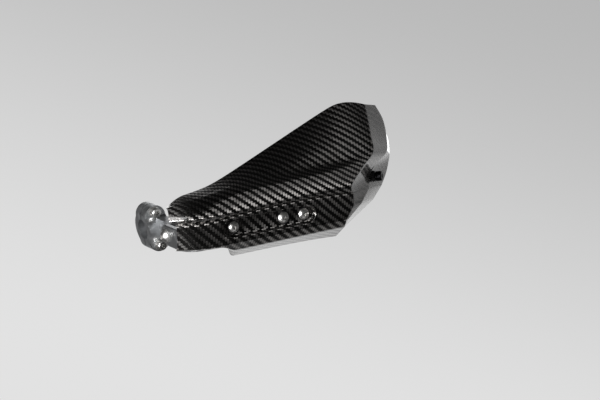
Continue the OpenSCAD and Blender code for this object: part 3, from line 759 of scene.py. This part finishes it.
def metalFinish(name):
    kind = metals[name]
    finish, tree, shader = newFinish(name)
    place = node(tree, "ShaderNodeTexCoord")
    tipped = (math.radians(shell["rake"]), 0, 0)
    fine = grain(tree, place.outputs["Object"], kind["scale"], kind["stretch"], 4.0, 0.6, tipped)
    cloudy = grain(tree, place.outputs["Object"], 90, (1, 1, 1), 4.0, 0.65)
    tint(tree, shader, cloudy, kind["colour"], 0.82, 1.08)
    shader.inputs["Metallic"].default_value = 1.0
    rough = spread(tree, fine, *kind["roughness"])
    rough = maths(tree, "MULTIPLY", rough, spread(tree, cloudy, 0.85, 1.15))
    tree.links.new(rough, shader.inputs["Roughness"])
    tree.links.new(bumped(tree, fine, kind["depth"]), shader.inputs["Normal"])
    return finish


plastics = {
    "rubber": {"colour": (0.02, 0.02, 0.021), "roughness": (0.6, 0.8),
               "scale": 1600, "depth": 0.03},
    "blackWasher": {"colour": (0.014, 0.014, 0.015), "roughness": (0.32, 0.45),
                    "scale": 900, "depth": 0.01},
}


def plasticFinish(name):
    kind = plastics[name]
    finish, tree, shader = newFinish(name)
    place = node(tree, "ShaderNodeTexCoord")
    fine = grain(tree, place.outputs["Object"], kind["scale"])
    cloudy = grain(tree, place.outputs["Object"], 120, (1, 1, 1), 4.0)
    tint(tree, shader, cloudy, kind["colour"], 0.8, 1.3)
    tree.links.new(spread(tree, fine, *kind["roughness"]), shader.inputs["Roughness"])
    tree.links.new(bumped(tree, fine, kind["depth"]), shader.inputs["Normal"])
    return finish


def finishShell():
    obj = makeShell()
    cutPocket(obj)
    obj.data.materials.append(carbonFinish("carbonGloss", True))
    obj.data.materials.append(carbonFinish("carbonInside", False))
    thick = obj.modifiers.new("wall", "SOLIDIFY")
    thick.thickness = shell["wall"] * mm
    thick.offset = -1
    thick.use_even_offset = True
    thick.use_quality_normals = True
    thick.material_offset = 1
    thick.material_offset_rim = 1
    applyAll(obj)
    drillShell(obj)
    cleanCuts(obj)
    pickOnly(obj)
    obj.rotation_euler.x = math.radians(shell["rake"])
    bpy.ops.object.transform_apply(location=True, rotation=True, scale=True)
    bpy.ops.object.shade_smooth_by_angle(angle=math.radians(shell["smoothAngle"]))
    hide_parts("guard_shell")
    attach(obj, "root")
    print("shell finished,", len(obj.data.polygons), "faces")


wears = {
    "mounting_bow": "satin", "clamp_front": "blasted", "clamp_rear": "blasted",
    "pocket_screws": "bright", "link_bolt": "bright", "pocket_nuts": "zinc", "outer_nut": "zinc",
    "link_nut": "zinc", "link_washers": "zinc", "clamp_screws": "zinc", "clamp_washers": "zinc",
    "bar_end_washer": "zinc", "pocket_collars": "turned", "outer_collar": "turned",
    "expander_cone": "turned", "outer_bolt": "blackSteel", "bar_end_bolt": "blackSteel",
    "bar_end_weight": "anodised", "pocket_dampers": "rubber", "outer_damper": "rubber",
    "expander_sleeve": "rubber", "pocket_washers": "blackWasher", "outer_spacer": "blackWasher",
}


def finishHardware():
    finishes = {name: metalFinish(name) for name in metals}
    finishes.update({name: plasticFinish(name) for name in plastics})
    for name, finish in wears.items():
        for slot in nodes[name].material_slots:
            slot.material = finishes[finish]
    print("finishes on", len(wears), "carried nodes")


# the photograph's view: the aim is a point of the guard, in metres, and falls on its own pixel
view = {
    "aim": (0.102, -0.100, -0.048), "aimPixel": (284, 218.3), "image": (600, 400), "distance": 1.754,
    "lens": 100, "sensor": 36, "azimuth": -27, "elevation": -7, "roll": 21,
}


def placeCamera():
    # returns the ways that are right and up in the picture
    azimuth, elevation, roll = (math.radians(view[k]) for k in ("azimuth", "elevation", "roll"))
    back = Vector((math.sin(azimuth) * math.cos(elevation), -math.cos(azimuth) * math.cos(elevation),
                   math.sin(elevation)))
    level = Vector((math.cos(azimuth), math.sin(azimuth), 0))
    upright = back.cross(level)
    right = level * math.cos(roll) - upright * math.sin(roll)
    up = level * math.sin(roll) + upright * math.cos(roll)
    wide, high = view["image"]
    perPixel = view["sensor"] / wide / view["lens"] * view["distance"]
    aside = (view["aimPixel"][0] - wide / 2) * perPixel
    above = (high / 2 - view["aimPixel"][1]) * perPixel
    camera = bpy.data.cameras.new("camera")
    camera.lens = view["lens"]
    camera.sensor_width = view["sensor"]
    camera.clip_start = 0.05
    obj = bpy.data.objects.new("camera", camera)
    bpy.context.collection.objects.link(obj)
    place = Vector(view["aim"]) - right * aside - up * above + back * view["distance"]
    obj.matrix_world = Matrix.Translation(place) @ Matrix((right, up, back)).transposed().to_4x4()
    bpy.context.scene.camera = obj
    return right, up


# lamps are (watts, size, place), in metres, and all point at the aim
studio = {
    "floorHeight": -2, "floorSize": 1.7, "floorColour": (0.62, 0.62, 0.62, 1), "floorRoughness": 0.8,
    "backdrop": (0.47, 0.76), "backdropFade": (-0.14, 0.2),
    "room": 0.015, "walls": 0.1, "wallsFoot": (-0.2, 0.0), "wallsHead": (0.0, 0.45), "roomFill": 0.3,
    "paleSide": (0.75, 0.66, 0), "paleFade": (0.55, 0.85), "aim": (0.12, -0.08, 0),
    "lamps": {
        "key": (32, (0.7, 0.4), (-1.36, -0.64, -0.07)),
        "wing": (6, (0.8, 0.5), (-1.06, -0.86, 0.64)),
        "rear": (6, (1.2, 1.2), (0.9, 1.3, 0.6)),
    },
}


def layFloor():
    deselectAll()
    bpy.ops.mesh.primitive_plane_add(size=studio["floorSize"], location=(0, 0, studio["floorHeight"]))
    floor = bpy.context.object
    floor.name = "floor"
    finish, tree, shader = newFinish("paleFloor")
    place = node(tree, "ShaderNodeTexCoord")
    cloudy = grain(tree, place.outputs["Object"], 3, (1, 1, 1), 2.0)
    tone = spread(tree, cloudy, 0.97, 1.0)
    shaded = mixed(tree, tone, (0, 0, 0, 1), studio["floorColour"])
    tree.links.new(shaded, shader.inputs["Base Color"])
    shader.inputs["Roughness"].default_value = studio["floorRoughness"]
    floor.data.materials.append(finish)


def lightRoom(right, up):
    world = bpy.data.worlds.new("studio")
    bpy.context.scene.world = world
    world.use_nodes = True
    tree = world.node_tree
    background = tree.nodes["Background"]
    way = node(tree, "ShaderNodeTexCoord").outputs["Generated"]

    def towards(direction, low, high, fade):
        dot = node(tree, "ShaderNodeVectorMath", operation="DOT_PRODUCT")
        dot.inputs[1].default_value = direction
        tree.links.new(way, dot.inputs[0])
        made = node(tree, "ShaderNodeMapRange", interpolation_type="SMOOTHSTEP")
        for socket, number in zip(made.inputs, (dot.outputs["Value"], *fade, low, high)):
            feed(tree, socket, number)
        return made.outputs[0]

    # the backdrop darkens upwards, as in the photograph
    high, low = studio["backdrop"]
    backdrop = towards(up + 0.3 * right, low, high, studio["backdropFade"])
    # the gloss mirrors a dim room with paler walls, and the backdrop behind the guard's outer end
    foot = towards((0, 0, 1), 0.0, 1.0, studio["wallsFoot"])
    head = towards((0, 0, 1), 1.0, 0.0, studio["wallsHead"])
    walls = maths(tree, "MULTIPLY", foot, head)
    room = mixed(tree, walls, studio["room"], studio["walls"], "FLOAT")
    beyond = towards(studio["paleSide"], 0.0, 1.0, studio["paleFade"])
    glossy = mixed(tree, beyond, room, backdrop, "FLOAT")
    rays = node(tree, "ShaderNodeLightPath")
    level = mixed(tree, rays.outputs["Is Glossy Ray"], studio["roomFill"], glossy, "FLOAT")
    seen = maths(tree, "MAXIMUM", rays.outputs["Is Camera Ray"], rays.outputs["Is Transmission Ray"])
    level = mixed(tree, seen, level, backdrop, "FLOAT")
    tree.links.new(level, background.inputs["Strength"])
    background.inputs["Color"].default_value = (1, 1, 1, 1)


def hangLamps():
    for name, (power, size, place) in studio["lamps"].items():
        lamp = bpy.data.lights.new(name, "AREA")
        lamp.shape = "RECTANGLE"
        lamp.size, lamp.size_y = size
        lamp.energy = power
        box = bpy.data.objects.new(name, lamp)
        box.location = place
        aim = Vector(studio["aim"]) - box.location
        box.rotation_euler = aim.to_track_quat("-Z", "Y").to_euler()
        bpy.context.collection.objects.link(box)


finishShell()
finishHardware()
layFloor()
lightRoom(*placeCamera())
hangLamps()
bpy.context.scene.view_settings.view_transform = "Standard"
print("studio lit")
